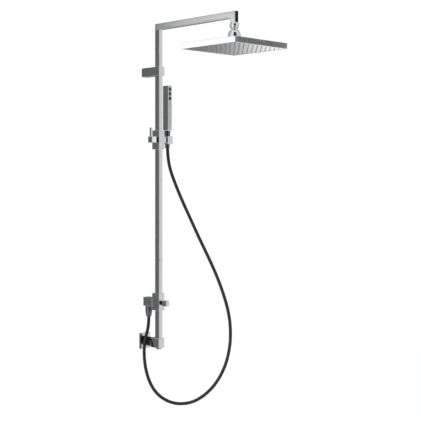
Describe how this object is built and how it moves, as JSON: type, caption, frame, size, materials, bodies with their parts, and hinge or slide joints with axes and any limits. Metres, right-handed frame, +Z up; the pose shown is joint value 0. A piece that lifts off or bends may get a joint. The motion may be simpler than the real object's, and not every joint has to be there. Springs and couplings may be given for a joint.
{
  "type": "rainfall shower column",
  "caption": "Wall shower column: rectangular riser and arm with a square rain head on a ball joint, sliding handset holder, diverter and metal hose.",
  "frame": {"origin": "on the wall face, at the centre of the inlet thread", "axes": "+Z up along the riser, +Y into the wall, -Y out along the overhead arm, +X to the right when facing the wall"},
  "size_m": [0.3242, 0.601, 1.3792],
  "materials": {
    "chrome": "polished chrome plate on brass and steel",
    "face_steel": "satin stainless steel sheet",
    "steel": "plain stainless steel",
    "brass": "machined brass",
    "black_plastic": "black moulded plastic",
    "black_rubber": "black rubber",
    "silicone": "grey silicone",
    "dark_nozzle": "dark moulded plastic",
    "hose_metal": "spiral wound interlocked metal hose"
  },
  "bodies": {
    "root": {"arm_coupling": "brass", "arm_outlet": "brass", "bracket_body": "chrome", "bracket_mount": "brass", "bracket_screw": "steel", "coupling_screw": "steel", "coupling_seals": "black_rubber", "diverter_bezel": "black_plastic", "diverter_body": "chrome", "diverter_cartridge": "brass", "diverter_outlet": "chrome", "elbow_plug": "black_plastic", "flange_gasket": "black_rubber", "hose": "hose_metal", "inlet_elbow": "chrome", "inlet_nipple": "brass", "inlet_sleeve": "black_plastic", "inlet_washer": "black_rubber", "outlet_nipple": "brass", "outlet_nut": "chrome", "outlet_washer": "black_rubber", "overhead_arm": "chrome", "riser_lower": "chrome", "riser_stop": "chrome", "riser_upper": "chrome", "swivel_ball": "chrome", "swivel_washer": "black_rubber", "tube_gaskets": "black_rubber", "wall_flange": "chrome"},
    "swivel": {"swivel_seat": "black_plastic"},
    "head": {"bell_nut": "chrome", "head_inlet": "brass", "flow_disc": "black_plastic", "head_locknut": "brass", "head_shell": "chrome", "head_gasket": "black_rubber", "head_face": "face_steel", "spray_mat": "silicone"},
    "diverter_handle": {"diverter_knob": "chrome", "knob_screw": "steel", "diverter_stem": "brass"},
    "slider": {"slider_body": "chrome", "slider_liner": "black_plastic", "clamp_shoe": "black_plastic"},
    "clamp": {"clamp_screw": "steel", "clamp_neck": "black_plastic", "clamp_knob": "chrome", "clamp_lever": "chrome"},
    "holder": {"handset_holder": "chrome", "holder_pin": "steel"},
    "hose_end": {"handset_nut": "chrome", "handset_washer": "black_rubber"},
    "handset": {"handset_shell": "chrome", "handset_nozzles": "dark_nozzle", "handset_waterway": "black_plastic", "handset_tail": "chrome"}
  },
  "joints": [
    {"name": "slider_slide", "type": "slide", "parent": "root", "child": "slider", "axis": [0, 0, 1], "range_m": [-0.38, 0.15], "deforming": ["hose"]},
    {"name": "clamp_turn", "type": "hinge", "parent": "slider", "child": "clamp", "pos_m": [-0.03, -0.0825, 0.7335], "axis": [1, 0, 0], "range_deg": [0, 90]},
    {"name": "holder_tilt", "type": "hinge", "parent": "slider", "child": "holder", "pos_m": [0.02, -0.0825, 0.7335], "axis": [1, 0, 0], "range_deg": [-10, 35]},
    {"name": "handset_lift", "type": "slide", "parent": "holder", "child": "hose_end", "axis": [0, 0, 1], "range_m": [0, 0.04]},
    {"name": "handset_turn", "type": "hinge", "parent": "hose_end", "child": "handset", "pos_m": [0.0394, -0.0825, 0.76], "axis": [0, 0, 1], "range_deg": [-90, 90]},
    {"name": "diverter_turn", "type": "hinge", "parent": "root", "child": "diverter_handle", "pos_m": [0, -0.12, 0.1455], "axis": [0, 1, 0], "range_deg": [0, 90]},
    {"name": "head_spin", "type": "hinge", "parent": "root", "child": "swivel", "pos_m": [0, -0.46, 1.08], "axis": [0, 0, 1], "continuous": true},
    {"name": "head_tilt", "type": "hinge", "parent": "swivel", "child": "head", "pos_m": [0, -0.46, 1.08], "axis": [1, 0, 0], "range_deg": [-15, 15]}
  ]
}
